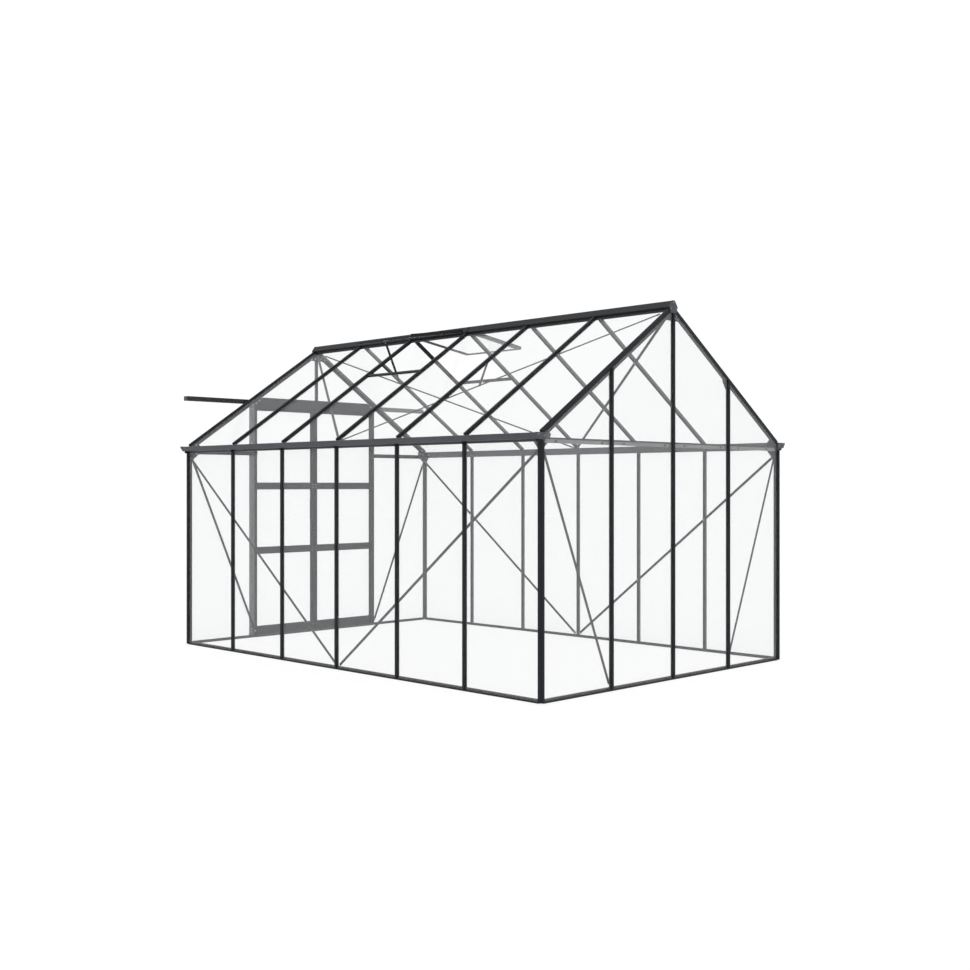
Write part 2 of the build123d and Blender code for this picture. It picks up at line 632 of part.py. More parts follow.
# ---------------------------------------------------------------- labels and files
base_cills_side.part.label = "base_cills_side"
export_step(base_cills_side.part, "parts/base_cills_side.step")
base_cill_rear.part.label = "base_cill_rear"
export_step(base_cill_rear.part, "parts/base_cill_rear.step")
base_cill_front.part.label = "base_cill_front"
export_step(base_cill_front.part, "parts/base_cill_front.step")
door_sill.part.label = "door_sill"
export_step(door_sill.part, "parts/door_sill.step")
corner_posts.part.label = "corner_posts"
export_step(corner_posts.part, "parts/corner_posts.step")
side_bars_left.part.label = "side_bars_left"
export_step(side_bars_left.part, "parts/side_bars_left.step")
side_bars_right.part.label = "side_bars_right"
export_step(side_bars_right.part, "parts/side_bars_right.step")
rear_bars.part.label = "rear_bars"
export_step(rear_bars.part, "parts/rear_bars.step")
front_bars.part.label = "front_bars"
export_step(front_bars.part, "parts/front_bars.step")
gutter_left.part.label = "gutter_left"
export_step(gutter_left.part, "parts/gutter_left.step")
gutter_right.part.label = "gutter_right"
export_step(gutter_right.part, "parts/gutter_right.step")
gutter_end_caps.part.label = "gutter_end_caps"
export_step(gutter_end_caps.part, "parts/gutter_end_caps.step")
ridge_beam.part.label = "ridge_beam"
export_step(ridge_beam.part, "parts/ridge_beam.step")
ridge_end_caps.part.label = "ridge_end_caps"
export_step(ridge_end_caps.part, "parts/ridge_end_caps.step")
roof_bars_left.part.label = "roof_bars_left"
export_step(roof_bars_left.part, "parts/roof_bars_left.step")
roof_bars_right.part.label = "roof_bars_right"
export_step(roof_bars_right.part, "parts/roof_bars_right.step")
gable_rafters_front.part.label = "gable_rafters_front"
export_step(gable_rafters_front.part, "parts/gable_rafters_front.step")
gable_rafters_rear.part.label = "gable_rafters_rear"
export_step(gable_rafters_rear.part, "parts/gable_rafters_rear.step")
gable_tie_bars.part.label = "gable_tie_bars"
export_step(gable_tie_bars.part, "parts/gable_tie_bars.step")
gable_tie_rails.part.label = "gable_tie_rails"
export_step(gable_tie_rails.part, "parts/gable_tie_rails.step")
door_header.part.label = "door_header"
export_step(door_header.part, "parts/door_header.step")
door_track.part.label = "door_track"
export_step(door_track.part, "parts/door_track.step")
wall_braces.part.label = "wall_braces"
export_step(wall_braces.part, "parts/wall_braces.step")
roof_braces.part.label = "roof_braces"
export_step(roof_braces.part, "parts/roof_braces.step")
gusset_plates.part.label = "gusset_plates"
export_step(gusset_plates.part, "parts/gusset_plates.step")
vent_frames.part.label = "vent_frames"
export_step(vent_frames.part, "parts/vent_frames.step")
vent_glass.part.label = "vent_glass"
export_step(vent_glass.part, "parts/vent_glass.step")
vent_sills.part.label = "vent_sills"
export_step(vent_sills.part, "parts/vent_sills.step")
vent_stays.part.label = "vent_stays"
export_step(vent_stays.part, "parts/vent_stays.step")
side_glass_left.part.label = "side_glass_left"
export_step(side_glass_left.part, "parts/side_glass_left.step")
side_glass_right.part.label = "side_glass_right"
export_step(side_glass_right.part, "parts/side_glass_right.step")
rear_glass.part.label = "rear_glass"
export_step(rear_glass.part, "parts/rear_glass.step")
front_glass.part.label = "front_glass"
export_step(front_glass.part, "parts/front_glass.step")
roof_glass_left.part.label = "roof_glass_left"
export_step(roof_glass_left.part, "parts/roof_glass_left.step")
roof_glass_right.part.label = "roof_glass_right"
export_step(roof_glass_right.part, "parts/roof_glass_right.step")
door_left_stiles.part.label = "door_left_stiles"
export_step(door_left_stiles.part, "parts/door_left_stiles.step")
door_left_rails.part.label = "door_left_rails"
export_step(door_left_rails.part, "parts/door_left_rails.step")
door_left_glass.part.label = "door_left_glass"
export_step(door_left_glass.part, "parts/door_left_glass.step")
door_left_hangers.part.label = "door_left_hangers"
export_step(door_left_hangers.part, "parts/door_left_hangers.step")
door_left_grip.part.label = "door_left_grip"
export_step(door_left_grip.part, "parts/door_left_grip.step")
door_right_stiles.part.label = "door_right_stiles"
export_step(door_right_stiles.part, "parts/door_right_stiles.step")
door_right_rails.part.label = "door_right_rails"
export_step(door_right_rails.part, "parts/door_right_rails.step")
door_right_glass.part.label = "door_right_glass"
export_step(door_right_glass.part, "parts/door_right_glass.step")
door_right_hangers.part.label = "door_right_hangers"
export_step(door_right_hangers.part, "parts/door_right_hangers.step")
door_right_grip.part.label = "door_right_grip"
export_step(door_right_grip.part, "parts/door_right_grip.step")
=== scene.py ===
import math
import bmesh
import bpy
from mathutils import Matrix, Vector


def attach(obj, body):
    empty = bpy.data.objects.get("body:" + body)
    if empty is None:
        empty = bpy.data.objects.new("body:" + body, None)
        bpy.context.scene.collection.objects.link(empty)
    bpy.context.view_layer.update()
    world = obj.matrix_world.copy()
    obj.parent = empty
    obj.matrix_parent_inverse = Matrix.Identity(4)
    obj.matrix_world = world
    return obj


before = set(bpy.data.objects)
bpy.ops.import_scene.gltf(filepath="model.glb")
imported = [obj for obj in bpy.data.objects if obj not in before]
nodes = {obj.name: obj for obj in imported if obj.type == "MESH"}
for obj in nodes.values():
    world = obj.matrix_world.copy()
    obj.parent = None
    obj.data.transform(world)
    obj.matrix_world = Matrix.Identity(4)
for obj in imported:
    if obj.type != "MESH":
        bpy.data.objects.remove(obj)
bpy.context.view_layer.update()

scene = bpy.context.scene

# Main places of the greenhouse, in metres.
Y_MID = 0.026
YR, YF = Y_MID + 1.870, Y_MID - 1.870
HALF_W, RIDGE, EAVE = 1.250, 2.389, 1.546
SLOPE = math.atan2(RIDGE - EAVE, HALF_W)
C, S = math.cos(SLOPE), math.sin(SLOPE)
BAR_Y = [Y_MID + k * 0.622 for k in (-2, -1, 0, 1, 2)]


def roof_z(x, t=0.0):
    """Height of the roof layer t at distance x from the ridge."""
    return RIDGE - abs(x) * math.tan(SLOPE) + t / C


# ------------------------------------------------------------------ small node helpers
def new_mat(name):
    m = bpy.data.materials.new(name)
    m.use_nodes = True
    nt = m.node_tree
    nt.nodes.clear()
    return m, nt


def add(nt, kind, **values):
    n = nt.nodes.new(kind)
    for k, v in values.items():
        if k in n.inputs:
            n.inputs[k].default_value = v
        else:
            setattr(n, k, v)
    return n


def link(nt, a, b):
    nt.links.new(a, b)


def ramp_of(nt, fac, lo, hi, p0=0.3, p1=0.7):
    r = add(nt, "ShaderNodeValToRGB")
    r.color_ramp.elements[0].position = p0
    r.color_ramp.elements[0].color = (*lo, 1)
    r.color_ramp.elements[1].position = p1
    r.color_ramp.elements[1].color = (*hi, 1)
    link(nt, fac, r.inputs["Fac"])
    return r.outputs["Color"]


def spread(nt, value, lo, hi):
    r = add(nt, "ShaderNodeMapRange")
    r.inputs["To Min"].default_value = lo
    r.inputs["To Max"].default_value = hi
    link(nt, value, r.inputs["Value"])
    return r.outputs["Result"]


# ------------------------------------------------------------------ materials
def paint(name, dark, light, rough=0.42, spec=0.25, metal=0.0, dust_and_top_light=0.0):
    """Powder coat: broad tone drift, faint run-off streaks, fine orange peel, and near the ground a light grey on faces
    that look up, partly dust and partly painted top light.
    """
    m, nt = new_mat(name)
    out = add(nt, "ShaderNodeOutputMaterial")
    p = add(nt, "ShaderNodeBsdfPrincipled")
    p.inputs["Specular IOR Level"].default_value = spec
    p.inputs["Metallic"].default_value = metal
    tc = add(nt, "ShaderNodeTexCoord")
    broad = add(nt, "ShaderNodeTexNoise", Scale=3.0, Detail=4.0)
    fine = add(nt, "ShaderNodeTexNoise", Scale=900.0, Detail=2.0)
    link(nt, tc.outputs["Object"], broad.inputs["Vector"])
    link(nt, tc.outputs["Object"], fine.inputs["Vector"])
    long = add(nt, "ShaderNodeMapping")
    long.inputs["Scale"].default_value = (60.0, 60.0, 2.0)
    link(nt, tc.outputs["Object"], long.inputs["Vector"])
    streak = add(nt, "ShaderNodeTexNoise", Scale=1.0, Detail=3.0)
    link(nt, long.outputs["Vector"], streak.inputs["Vector"])
    colour = ramp_of(nt, broad.outputs["Fac"], dark, light)
    mix = add(nt, "ShaderNodeMix", data_type="RGBA", blend_type="MULTIPLY")
    mix.inputs["Factor"].default_value = 1.0
    link(nt, colour, mix.inputs[6])
    link(nt, ramp_of(nt, streak.outputs["Fac"], (0.90, 0.90, 0.90), (1.10, 1.10, 1.09), 0.35, 0.65), mix.inputs[7])
    colour = mix.outputs[2]
    # Near the ground, faces that look up are mixed towards a warm light grey. This is partly dust and partly painted
    # top light that stands in for light from above.
    if dust_and_top_light:
        geo = add(nt, "ShaderNodeNewGeometry")
        pos = add(nt, "ShaderNodeSeparateXYZ")
        nor = add(nt, "ShaderNodeSeparateXYZ")
        link(nt, geo.outputs["Position"], pos.inputs["Vector"])
        link(nt, geo.outputs["Normal"], nor.inputs["Vector"])
        low = add(nt, "ShaderNodeMapRange")
        low.inputs["From Min"].default_value = 0.10
        low.inputs["From Max"].default_value = 0.01
        link(nt, pos.outputs["Z"], low.inputs["Value"])
        up = add(nt, "ShaderNodeMapRange")
        up.inputs["From Min"].default_value = 0.2
        up.inputs["From Max"].default_value = 0.9
        link(nt, nor.outputs["Z"], up.inputs["Value"])
        f1 = add(nt, "ShaderNodeMath", operation="MULTIPLY")
        link(nt, low.outputs["Result"], f1.inputs[0])
        link(nt, up.outputs["Result"], f1.inputs[1])
        dust_and_top_light_mask = add(nt, "ShaderNodeMath", operation="MULTIPLY")
        link(nt, f1.outputs["Value"], dust_and_top_light_mask.inputs[0])
        link(nt, spread(nt, broad.outputs["Fac"], 0.7 * dust_and_top_light, 1.3 * dust_and_top_light), dust_and_top_light_mask.inputs[1])
        dust_and_top_light_mix = add(nt, "ShaderNodeMix", data_type="RGBA")
        link(nt, dust_and_top_light_mask.outputs["Value"], dust_and_top_light_mix.inputs["Factor"])
        link(nt, colour, dust_and_top_light_mix.inputs[6])
        dust_and_top_light_mix.inputs[7].default_value = (0.20, 0.19, 0.175, 1)
        colour = dust_and_top_light_mix.outputs[2]
    link(nt, colour, p.inputs["Base Color"])
    link(nt, spread(nt, fine.outputs["Fac"], rough - 0.07, rough + 0.07), p.inputs["Roughness"])
    bump = add(nt, "ShaderNodeBump", Strength=0.08, Distance=0.0004)
    link(nt, fine.outputs["Fac"], bump.inputs["Height"])
    link(nt, bump.outputs["Normal"], p.inputs["Normal"])
    link(nt, p.outputs["BSDF"], out.inputs["Surface"])
    return m


def glass(name):
    """Clear pane: mostly transparent, with a thin even veil of reflected light on both of its faces."""
    m, nt = new_mat(name)
    out = add(nt, "ShaderNodeOutputMaterial")
    p = add(nt, "ShaderNodeBsdfPrincipled")
    p.inputs["Specular IOR Level"].default_value = 0.5
    tc = add(nt, "ShaderNodeTexCoord")
    film = add(nt, "ShaderNodeTexNoise", Scale=2.2, Detail=3.0)
    wave = add(nt, "ShaderNodeTexNoise", Scale=1.3, Detail=1.0)
    link(nt, tc.outputs["Object"], film.inputs["Vector"])
    link(nt, tc.outputs["Object"], wave.inputs["Vector"])
    link(nt, ramp_of(nt, film.outputs["Fac"], (0.745, 0.760, 0.775), (0.775, 0.790, 0.802), 0.0, 1.0), p.inputs["Base Color"])
    link(nt, spread(nt, film.outputs["Fac"], 0.04, 0.10), p.inputs["Roughness"])
    bump = add(nt, "ShaderNodeBump", Strength=0.05, Distance=0.002)
    link(nt, wave.outputs["Fac"], bump.inputs["Height"])
    link(nt, bump.outputs["Normal"], p.inputs["Normal"])
    link(nt, spread(nt, film.outputs["Fac"], 0.082, 0.094), p.inputs["Alpha"])
    link(nt, p.outputs["BSDF"], out.inputs["Surface"])
    return m


# The frame paint carries the dust and the painted top light on up-facing faces near the ground.
FRAME = paint("frame_paint", (0.0120, 0.0140, 0.0168), (0.0148, 0.0168, 0.0198), 0.45, 0.12, dust_and_top_light=0.35)
GUTTER = paint("gutter_paint", (0.060, 0.065, 0.073), (0.071, 0.076, 0.085), 0.45, 0.15)
CAPS = paint("end_cap_paint", (0.064, 0.069, 0.076), (0.076, 0.081, 0.088), 0.5, 0.15)
TRACK = paint("track_paint", (0.026, 0.0285, 0.031), (0.034, 0.0365, 0.039), 0.45, 0.15)
RIDGE_PAINT = paint("ridge_paint", (0.0150, 0.0172, 0.0204), (0.0186, 0.0208, 0.0242), 0.45, 0.14)
TIE = paint("tie_metal", (0.16, 0.165, 0.17), (0.20, 0.205, 0.21), 0.45, 0.3)
GLASS = glass("clear_glass")
ZINC = paint("zinc_steel", (0.30, 0.31, 0.32), (0.42, 0.43, 0.44), 0.36, 0.5, metal=0.6)
BOLT = paint("bolt_black", (0.016, 0.017, 0.019), (0.024, 0.025, 0.028), 0.38, 0.3)
PLASTIC = paint("black_plastic", (0.010, 0.010, 0.011), (0.014, 0.014, 0.015), 0.5, 0.3)
RUBBER = paint("seal_rubber", (0.007, 0.007, 0.0075), (0.011, 0.011, 0.0115), 0.7, 0.2)

for n, o in nodes.items():
    if "glass" in n:
        m = GLASS
    elif n == "gutter_end_caps":
        m = CAPS
    elif "gutter" in n or n == "ridge_end_caps":
        m = GUTTER
    elif n == "door_track":
        m = TRACK
    elif n == "ridge_beam":
        m = RIDGE_PAINT
    elif n == "gable_tie_bars":
        m = TIE
    elif "hangers" in n:
        m = ZINC
    elif "grip" in n:
        m = PLASTIC
    else:
        m = FRAME
    o.data.materials.clear()
    o.data.materials.append(m)


# ------------------------------------------------------------------ mesh helpers
def across(axis):
    """Unit axis and two unit vectors across it, right-handed."""
    a = Vector(axis).normalized()
    h = Vector((0, 0, 1)) if abs(a.z) < 0.9 else Vector((1, 0, 0))
    e = h.cross(a).normalized()
    return a, e, a.cross(e)


class Shape:
    """Corners and faces of one piece, gathered from many closed bodies."""

    def __init__(self):
        self.v, self.f = [], []

    def rings(self, rings):
        """Closed body through rings of equal length, with a flat face at each end."""
        k, n = len(self.v), len(rings[0])
        for r in rings:
            self.v += [tuple(p) for p in r]
        for j in range(len(rings) - 1):
            for i in range(n):
                a, b = k + j * n + i, k + j * n + (i + 1) % n
                self.f.append((a, b, b + n, a + n))
        self.f.append(tuple(k + i for i in reversed(range(n))))
        self.f.append(tuple(k + (len(rings) - 1) * n + i for i in range(n)))

    def turned(self, p, axis, profile, n, turn=0.0):
        """Body round an axis through p, from (radius, height) pairs."""
        a, e, g = across(axis)
        p = Vector(p)
        angles = [2 * math.pi * i / n + turn for i in range(n)]
        self.rings([[p + a * h + (e * math.cos(w) + g * math.sin(w)) * r for w in angles] for r, h in profile])

    def bolt(self, p, axis, turn=0.0, k=1.0):
        """Hexagon head with a chamfered, dished top on a washer."""
        self.turned(p, axis, [(0.0060 * k, -0.0003), (0.0066 * k, 0.0003), (0.0063 * k, 0.0011 * k)], 20)
        self.turned(
            p, axis,
            [(0.0056 * k, 0.0010 * k), (0.0057 * k, 0.0034 * k), (0.0049 * k, 0.0043 * k), (0.0026 * k, 0.0043 * k), (0.0021 * k, 0.0037 * k)],
            6, turn,
        )

    def screw(self, p, axis, r=0.0042):
        """Domed head with a round recess."""
        self.turned(
            p, axis,
            [(0.96 * r, -0.0003), (r, 0.14 * r), (0.86 * r, 0.36 * r), (0.58 * r, 0.50 * r), (0.40 * r, 0.52 * r), (0.30 * r, 0.24 * r)],
            16,
        )

    def sweep(self, p, q, section, ex, ey):
        """Section (pairs along ex and ey) carried from p to q."""
        p, q, ex, ey = Vector(p), Vector(q), Vector(ex), Vector(ey)
        self.rings([[o + ex * x + ey * y for x, y in section] for o in (p, q)])

    def window(self, x0, x1, z0, z1, w, y0, y1):
        """Flat frame of width w round an upright rectangle, from y0 to y1."""
        k = len(self.v)
        for y in (y0, y1):
            for d in (0.0, w):
                self.v += [(x0 + d, y, z0 + d), (x1 - d, y, z0 + d), (x1 - d, y, z1 - d), (x0 + d, y, z1 - d)]
        for i in range(4):
            j = (i + 1) % 4
            self.f += [
                (k + i, k + j, k + 4 + j, k + 4 + i), (k + 8 + i, k + 12 + i, k + 12 + j, k + 8 + j),
                (k + i, k + 8 + i, k + 8 + j, k + j), (k + 4 + i, k + 4 + j, k + 12 + j, k + 12 + i),
            ]

    def make(self, name, body, slot, mat):
        me = bpy.data.meshes.new(name)
        me.from_pydata(self.v, [], self.f)
        bm = bmesh.new()
        bm.from_mesh(me)
        bmesh.ops.recalc_face_normals(bm, faces=bm.faces)
        bm.to_mesh(me)
        bm.free()
        me.materials.append(mat)
        ob = bpy.data.objects.new(name, me)
        scene.collection.objects.link(ob)
        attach(ob, body)
        return ob


def rounded(w, h, r, n=4):
    """Rectangle about the origin with rounded corners."""
    pts = []
    for cx, cy, a0 in ((w / 2 - r, h / 2 - r, 0), (-w / 2 + r, h / 2 - r, 90), (-w / 2 + r, -h / 2 + r, 180), (w / 2 - r, -h / 2 + r, 270)):
        for i in range(n + 1):
            a = math.radians(a0 + 90 * i / n)
            pts.append((cx + r * math.cos(a), cy + r * math.sin(a)))
    return pts


X, Y, Z = Vector((1, 0, 0)), Vector((0, 1, 0)), Vector((0, 0, 1))

# ------------------------------------------------------------------ bolts of the gable ties
tie = Shape()
for x in (1.113, 0.696, 0.487, 0.0714, -0.136, -0.550, -0.762, -1.113):
    tie.bolt((x, YR - 0.0105, 1.498), Y, 0.3 * x, 1.2)
    tie.bolt((x, YR - 0.0155, 1.498), -Y, 0.7 * x, 0.9)
for x in (1.113, 0.696, -0.696, -1.113):
    tie.bolt((x, YF + 0.0105, 1.498), -Y, 0.3 * x)
    tie.bolt((x, YF + 0.0155, 1.498), Y, 0.7 * x, 0.9)
tie.make("tie_bolts", "house", "frame_paint", BOLT)

# ------------------------------------------------------------------ bolts of the brace strips
brace = Shape()


def along(p, q, s):
    return p[0] + (q[0] - p[0]) * s, p[1] + (q[1] - p[1]) * s


for side in (1, -1):
    for end in (1, -1):
        p, q = (1.840, 1.448), (0.0186, 0.0296)
        for s in [0.006, 0.994] + [(p[0] - d) / (p[0] - q[0]) for d in (1.244, 0.622)]:
            d, z = along(p, q, s)
            brace.bolt((side * 1.2365, Y_MID + end * d, z), -X * side, 0.4 + s)
    for y, face in ((YR - 0.0135, -Y), (YF + 0.0135, Y)):
        p, q = (1.214, 1.433), (0.630, 0.042)
        for s in (0.008, 0.992):
            x, z = along(p, q, s)
            brace.bolt((side * x, y, z), face, 0.2 + s)
    for end in (1, -1):
        p, q = (0.040, 1.800), (1.222, 0.011)
        for s in [0.008, 0.992] + [(p[1] - d) / (p[1] - q[1]) for d in (1.244, 0.622)]:
            x, d = along(p, q, s)
            at = Vector((side * (x + 0.0008), Y_MID + end * d, roof_z(x, -0.016)))
            brace.bolt(at, Vector((-side * S, 0, -C)), 0.9 - s)
brace.make("brace_bolts", "house", "zinc_steel", ZINC)

# ------------------------------------------------------------------ bolts of the gusset plates
plate = Shape()
for side in (1, -1):
    for y, face in ((YR - 0.025, -Y), (YF + 0.025, Y)):
        for x, z in ((1.213, 1.464), (1.190, 1.488), (1.166, 1.530), (1.196, 1.560), (1.205, 1.526)):
            plate.bolt((side * x, y, z), face, x * 3)
        for x, z in ((0.070, 2.313), (0.028, 2.318)):
            plate.bolt((side * x, y, z), face, x * 3)
    for y, face in ((YR - 0.0135, -Y), (YF + 0.0135, Y)):
        for x, d in ((0.622, 0.056), (0.590, 0.054)):
            plate.bolt((side * x, y, roof_z(x) - d), face, x * 5)
    for end, y in ((1, YR), (-1, YF)):
        for d, z in ((0.038, 1.462), (0.044, 1.495), (0.084, 1.520)):
            plate.bolt((side * 1.225, y - end * d, z), -X * side, d * 40)
plate.make("gusset_bolts", "house", "zinc_steel", ZINC)

# Apex plates: they close the gap between the rafters, above the ridge gussets and under the ridge.
apex = Shape()
outline = [(-0.060, 2.331), (0.060, 2.331), (0.062, 2.3335), (0.034, 2.3550), (0.020, 2.3580), (-0.020, 2.3580), (-0.034, 2.3550), (-0.062, 2.3335)]
for y0, y1 in ((YR - 0.0218, YR - 0.0194), (YF + 0.0194, YF + 0.0218)):
    apex.sweep((0, y0, 0), (0, y1, 0), outline, X, Z)
apex.make("apex_plates", "house", "frame_paint", FRAME)

# ------------------------------------------------------------------ bolts at the bar feet and heads, and of the jambs
foot = Shape()
for side in (1, -1):
    for y in BAR_Y:
        for z in (0.036, 1.478):
            foot.bolt((side * 1.2395, y, z), -X * side, z)
    for z in (1.460, 0.840, 0.300):
        foot.bolt((side * 0.622, YF + 0.0105, z), Y, z)
    for x in (0.560, 0.200):
        foot.bolt((side * x, YF + 0.0105, 1.936), Y, x)
for x in (-0.622, 0.0, 0.622):
    foot.bolt((x, YR - 0.0105, 0.036), -Y, 0.4)
foot.make("bar_bolts", "house", "frame_paint", BOLT)

# ------------------------------------------------------------------ screws of the end caps and the floor guides
small = Shape()
for side in (1, -1):
    for y, face in ((YR + 0.016, Y), (YF - 0.007, -Y)):
        for x, z in ((1.242, 1.526), (1.290, 1.534)):
            small.screw((side * x, y, z), face, 0.0038)
    for y, face in ((YR + 0.007, Y), (YF - 0.007, -Y)):
        small.screw((side * 0.024, y, 2.376), face, 0.0040)
    for x in (0.624, 0.646):
        small.screw((side * x, YF - 0.020, 0.005), Z, 0.0030)
for y, face in ((YR + 0.007, Y), (YF - 0.007, -Y)):
    small.screw((0, y, 2.414), face, 0.0040)
small.make("cap_screws", "house", "zinc_steel", ZINC)

# ------------------------------------------------------------------ moulded plugs in the track ends
plug = Shape()
face = rounded(0.0470, 0.0340, 0.003)
inner = rounded(0.0440, 0.0310, 0.002)
for side in (1, -1):
    o = Vector((side * 1.248, YF - 0.040, 1.9265))
    plug.rings([[o + X * side * d + Y * side * a + Z * b for a, b in pts] for pts, d in ((face, 0.0002), (face, 0.0016), (inner, 0.0026))])
    for dy in (-0.013, 0.013):
        plug.screw(o + Vector((side * 0.0026, dy, 0.004)), X * side, 0.0034)
plug.make("track_end_plugs", "house", "gutter_paint", CAPS)

# Countersunk fixings along the face of the track.
fix = Shape()
for i in range(7):
    fix.screw((-1.08 + 0.36 * i, YF - 0.064, 1.9265), -Y, 0.0045)
fix.make("track_screws", "house", "zinc_steel", ZINC)

# ------------------------------------------------------------------ plugs in the lower ends of the roof bars
ends = Shape()
body = [(-0.0082, -0.0042), (0.0082, -0.0042), (0.0082, 0.0121), (0.0072, 0.0131), (-0.0072, 0.0131), (-0.0082, 0.0121)]
for side in (1, -1):
    down, out = Vector((side * C, 0, -S)), Vector((side * S, 0, C))
    for y in BAR_Y:
        o = Vector((0, y, RIDGE)) + down * (1.247 / C)
        ends.rings([[o + down * d + Y * a * k + out * b * k for a, b in body] for d, k in ((-0.0002, 1.0), (0.0012, 1.0), (0.0020, 0.9))])
ends.make("bar_end_plugs", "house", "black_plastic", PLASTIC)

# ------------------------------------------------------------------ clips that hang the gutter on the bar heads
clip = Shape()
hook = [(0.0, 0.0), (0.0068, 0.0), (0.0074, 0.0030), (0.0074, 0.0110), (0.0050, 0.0138), (0.0, 0.0138)]
for side in (1, -1):
    for y in BAR_Y:
        o = Vector((side * 1.2635, y, 1.4930))
        clip.sweep(o - Y * 0.0085, o + Y * 0.0085, hook, X * side, Z)
        clip.screw(o + X * side * 0.0074 + Z * 0.0070, X * side, 0.0030)
    for y0, y1 in ((YR - 0.014, YR + 0.011), (YF - 0.002, YF + 0.014)):
        o = Vector((side * 1.2635, 0, 1.4925))
        clip.sweep(o + Y * y0, o + Y * y1, [(2.3 * a, 1.05 * b) for a, b in hook], X * side, Z)
clip.make("gutter_clips", "house", "frame_paint", FRAME)

# ------------------------------------------------------------------ stops on the ridge at both ends of each vent
stop = Shape()
for side in (1, -1):
    for y in (BAR_Y[1] + 0.010, BAR_Y[2] + 0.014):
        stop.sweep(
            (side * 0.0400, y - 0.007, 2.386), (side * 0.0400, y + 0.007, 2.386),
            [(-0.0005, -0.0054), (0.0016, -0.0054), (0.0016, 0.0012), (-0.0258, 0.0392), (-0.0290, 0.0380), (-0.0005, 0.0)],
            X * side, Z,
        )
stop.make("ridge_stops", "house", "black_plastic", RUBBER)

# ------------------------------------------------------------------ roof vents: hinges, screws, stay pegs
A = math.radians(8.6)
hinge, pins = Shape(), Shape()
for side in (1, -1):
    ux, nx = Vector((side * math.cos(A), 0, -math.sin(A))), Vector((side * math.sin(A), 0, math.cos(A)))
    h = Vector((side * 0.050, Y_MID, 2.3868))
    for y in (-0.530, -0.311, -0.092):
        o = h + Y * (y - 0.030)
        hinge.turned(o, Y, [(0.0036, 0.0), (0.0042, 0.0006), (0.0042, 0.0594), (0.0036, 0.060)], 16)
        hinge.sweep(
            o + Y * 0.004, o + Y * 0.056,
            [(0.000, 0.0030), (0.004, 0.0049), (0.027, 0.0049), (0.028, 0.0055), (0.027, 0.0064), (0.004, 0.0064), (-0.001, 0.0046)], ux, nx,
        )
        hinge.sweep(
            o + Y * 0.004, o + Y * 0.056,
            [(-0.010, -0.0010), (0.000, 0.0028), (-0.001, 0.0044), (-0.010, 0.0012)], X * side, Z,
        )
        for d in (0.016, 0.044):
            pins.screw(o + Y * d + ux * 0.017 + nx * 0.0064, nx, 0.0036)
    for y in (-0.600, -0.022):
        for u in (0.018, 0.524):
            pins.screw(h + Y * y + ux * u + nx * 0.005, nx, 0.0042)
            pins.screw(h + Y * y + ux * u - nx * 0.005, -nx, 0.0042)
    # Stay: pivot bracket under the vent's outer rail, and a peg bracket on the sill bar.
    top, low = Vector((side * 0.550, Y_MID - 0.317, 2.298)), Vector((side * 0.421, Y_MID - 0.317, 2.025))
    run = (low - top).normalized()
    flat = run.cross(Y).normalized()
    for d in (0.010, 0.150, 0.185, 0.220, 0.255, 0.288):
        pins.turned(top + run * d - flat * 0.0044, flat, [(0.0030, 0.0), (0.0034, 0.0004), (0.0034, 0.0084), (0.0030, 0.0088)], 14)
    pins.sweep(
        top + Y * -0.012 + run * -0.004, top + Y * 0.012 + run * -0.004,
        [(-0.010, 0.0), (0.010, 0.0), (0.010, 0.0022), (0.0022, 0.0022), (0.0022, 0.011), (-0.0022, 0.011), (-0.0022, 0.0022), (-0.010, 0.0022)],
        ux, nx,
    )
    o = Vector((side * 0.452, Y_MID - 0.317, 2.0755))
    pins.sweep(
        o - Y * 0.016, o + Y * 0.016,
        [(-0.008, 0.0), (0.012, 0.0), (0.012, -0.018), (0.0098, -0.018), (0.0098, -0.0022), (-0.008, -0.0022)], X * side, Z,
    )
hinge.make("vent_hinges", "house", "frame_paint", BOLT)
pins.make("vent_fittings", "house", "zinc_steel", ZINC)

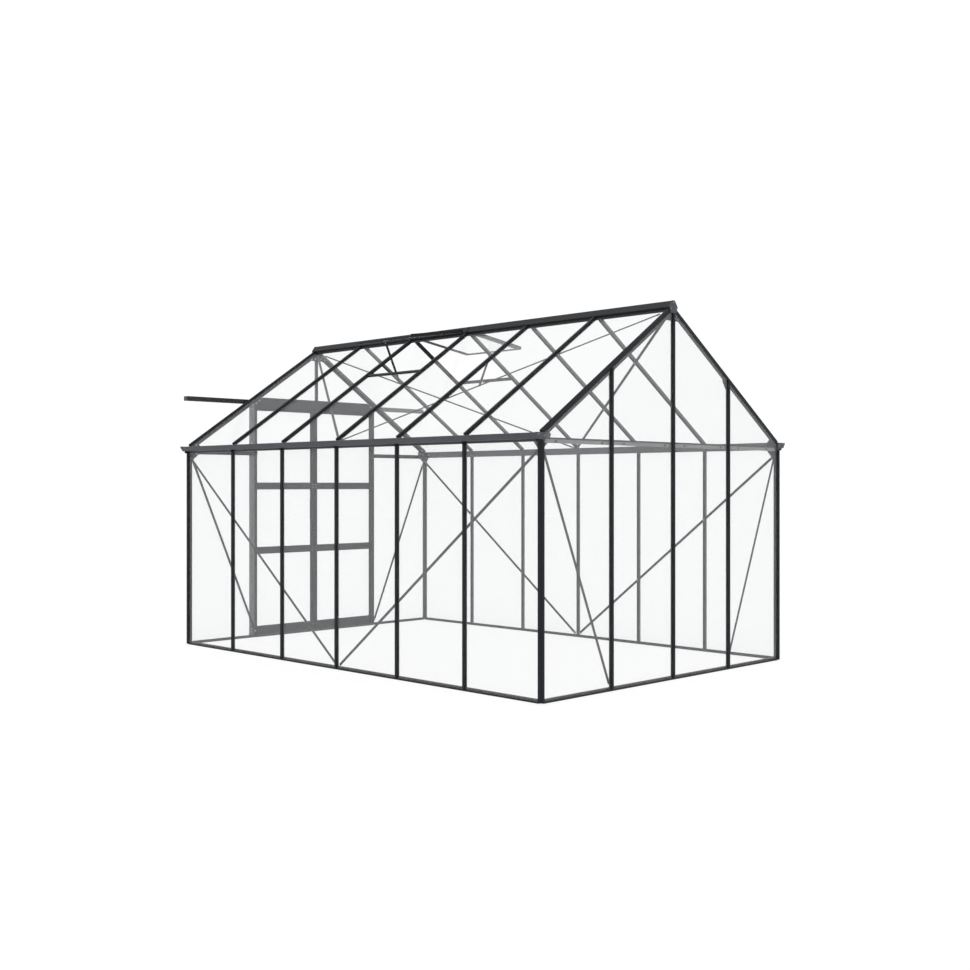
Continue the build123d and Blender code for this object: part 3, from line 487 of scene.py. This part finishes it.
# ------------------------------------------------------------------ sliding doors
PANES = [(0.078, 0.681), (0.7295, 1.213), (1.2615, 1.864)]
RAILS = [0.7053, 1.2373, 1.884]
for side, leaf in ((-1, "door_left"), (1, "door_right")):
    seal, screws, brush, grip = Shape(), Shape(), Shape(), Shape()
    x0, x1 = sorted((side * 0.0297, side * 0.6198))
    for z0, z1 in PANES:
        seal.window(x0, x1, z0 - 0.0008, z1 + 0.0008, 0.0055, YF - 0.0379, YF - 0.0352)
        seal.window(x0, x1, z0 - 0.0008, z1 + 0.0008, 0.0055, YF - 0.0448, YF - 0.0421)
    for x in (0.0155, 0.634):
        for z in RAILS:
            for dz in (-0.011, 0.011):
                screws.screw((side * x, YF - 0.053, z + dz), -Y, 0.0042)
                screws.screw((side * x, YF - 0.027, z + dz), Y, 0.0042)
        screws.screw((side * x, YF - 0.053, 0.062), -Y, 0.0042)
        screws.screw((side * x, YF - 0.027, 0.062), Y, 0.0042)
    # Brush strips on the inner faces of both stiles: a carrier with rows of bristles.
    for x in (0.0060, 0.6420):
        carrier = [(-0.0026, 0.0), (0.0026, 0.0), (0.0020, 0.0016), (-0.0020, 0.0016)]
        brush.sweep((side * x, YF - 0.0271, 0.085), (side * x, YF - 0.0271, 1.900), carrier, X, Y)
        for i in range(300):
            z = 0.088 + 0.00603 * i
            lean = 0.0006 * math.sin(i * 2.4)
            o, t = Vector((side * x, YF - 0.0258, z)), Vector((side * x + lean, YF - 0.0212, z + 0.4 * lean))
            brush.rings([
                [o + X * a + Z * b for a, b in ((-0.0014, -0.0022), (0.0014, -0.0022), (0.0014, 0.0022), (-0.0014, 0.0022))],
                [t + X * a + Z * b for a, b in ((-0.0009, -0.0028), (0.0009, -0.0028), (0.0009, 0.0028), (-0.0009, 0.0028))],
            ])
    # Foot plates of the finger grip.
    foot_plate = rounded(0.020, 0.032, 0.004)
    for z in (0.942, 1.148):
        o = Vector((side * 0.016, YF - 0.053, z))
        grip.rings([[o - Y * d + X * a * k + Z * b * k for a, b in foot_plate] for d, k in ((-0.0002, 1.0), (0.0018, 1.0), (0.0026, 0.93))])
        screws.screw(o - Y * 0.0026 + Z * (0.006 if z > 1 else -0.006), -Y, 0.0036)
    seal.make(leaf + "_seals", leaf, "black_plastic", RUBBER)
    screws.make(leaf + "_screws", leaf, "zinc_steel", ZINC)
    brush.make(leaf + "_brushes", leaf, "black_plastic", RUBBER)
    grip.make(leaf + "_grip_plates", leaf, "black_plastic", PLASTIC)

# ------------------------------------------------------------------ stage
bpy.ops.mesh.primitive_plane_add(size=60, location=(0, 0, -0.001))
floor = bpy.context.object
floor.name = "floor"
fm, nt = new_mat("floor_white")
out = add(nt, "ShaderNodeOutputMaterial")
em = add(nt, "ShaderNodeEmission", Strength=0.783)
matt = add(nt, "ShaderNodeBsdfDiffuse")
matt.inputs["Color"].default_value = (0.24, 0.24, 0.24, 1)
both = add(nt, "ShaderNodeAddShader")
link(nt, em.outputs["Emission"], both.inputs[0])
link(nt, matt.outputs["BSDF"], both.inputs[1])
link(nt, both.outputs["Shader"], out.inputs["Surface"])
floor.data.materials.append(fm)

world = bpy.data.worlds.new("studio")
scene.world = world
world.use_nodes = True
bg = world.node_tree.nodes["Background"]
bg.inputs["Color"].default_value = (1, 1, 1, 1)
bg.inputs["Strength"].default_value = 1.03

# A wide soft panel overhead, so that faces that look up are a little lighter than upright ones.
ld = bpy.data.lights.new("overhead", "AREA")
ld.shape = "SQUARE"
ld.size = 6.0
ld.energy = 60.0
lamp = bpy.data.objects.new("overhead", ld)
lamp.location = (0.5, 0.5, 7.0)
scene.collection.objects.link(lamp)
unlit = bpy.data.collections.new("not_lit_by_overhead")
unlit.objects.link(floor)
unlit.collection_objects[0].light_linking.link_state = "EXCLUDE"
lamp.light_linking.receiver_collection = unlit

scene.view_settings.view_transform = "Standard"
scene.view_settings.look = "None"

# ------------------------------------------------------------------ camera
cd = bpy.data.cameras.new("cam")
cam = bpy.data.objects.new("cam", cd)
scene.collection.objects.link(cam)
cam.location = (6.42807, 6.59174 + Y_MID, 1.24553)
fwd = Vector((-0.70738, -0.70683, 0.0))
cam.rotation_euler = fwd.to_track_quat("-Z", "Y").to_euler()
cd.sensor_width = 36.0
cd.lens = 45.675
cd.clip_start, cd.clip_end = 0.1, 200
scene.camera = cam
